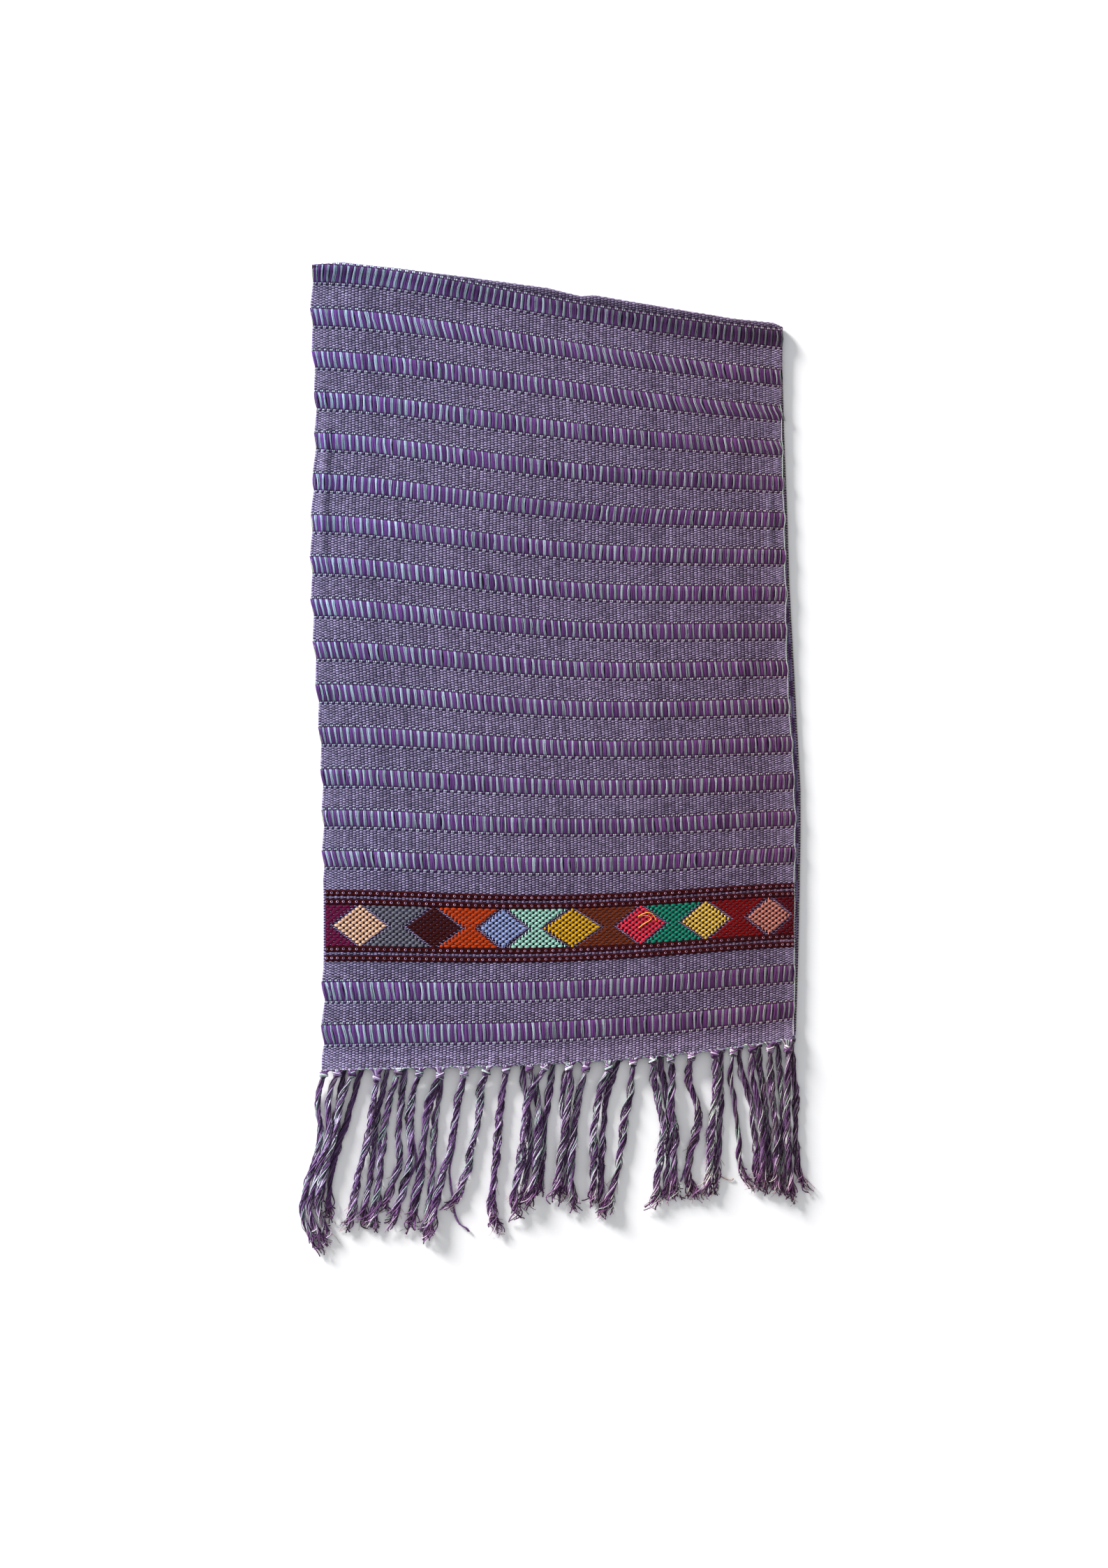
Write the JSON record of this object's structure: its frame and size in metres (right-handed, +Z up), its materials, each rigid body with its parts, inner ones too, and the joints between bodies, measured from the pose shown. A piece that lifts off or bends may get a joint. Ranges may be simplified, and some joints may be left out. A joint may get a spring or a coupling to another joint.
{
  "type": "folded shawl",
  "caption": "Hand-loomed striped cotton shawl, folded once and laid flat, with an inlaid band of diamonds near its end and knotted fringes.",
  "frame": {"origin": "middle of the laid shawl's box, on the surface it lies on", "axes": "+X to the right across the cloth, +Y along the cloth from the fringes to the fold, +Z up out of the front half"},
  "size_m": [0.4848, 0.9428, 0.0079],
  "materials": {
    "striped_cotton": "matt",
    "fringe_yarn": "matt",
    "dark_line_yarn": "matt",
    "diamond_peach": "matt",
    "diamond_maroon": "matt",
    "diamond_periwinkle": "matt",
    "diamond_mustard": "matt",
    "diamond_red": "matt",
    "diamond_yellow": "matt",
    "diamond_salmon": "matt",
    "field_magenta": "matt",
    "field_grey": "matt",
    "field_orange": "matt",
    "field_mint": "matt",
    "field_brown": "matt",
    "field_teal": "matt",
    "field_red": "matt",
    "field_wine": "matt"
  },
  "bodies": {
    "root": {"cloth_front": "striped_cotton", "cloth_back": "striped_cotton", "fringe_front": "fringe_yarn", "fringe_back": "fringe_yarn", "line_1": "dark_line_yarn", "line_2": "dark_line_yarn", "line_3": "dark_line_yarn", "line_4": "dark_line_yarn", "diamond_peach": "diamond_peach", "diamond_maroon": "diamond_maroon", "diamond_periwinkle": "diamond_periwinkle", "diamond_mustard": "diamond_mustard", "diamond_red": "diamond_red", "diamond_yellow": "diamond_yellow", "diamond_salmon": "diamond_salmon", "field_magenta": "field_magenta", "field_grey": "field_grey", "field_orange": "field_orange", "field_mint": "field_mint", "field_brown": "field_brown", "field_teal": "field_teal", "field_red": "field_red", "field_wine": "field_wine"}
  },
  "joints": []
}
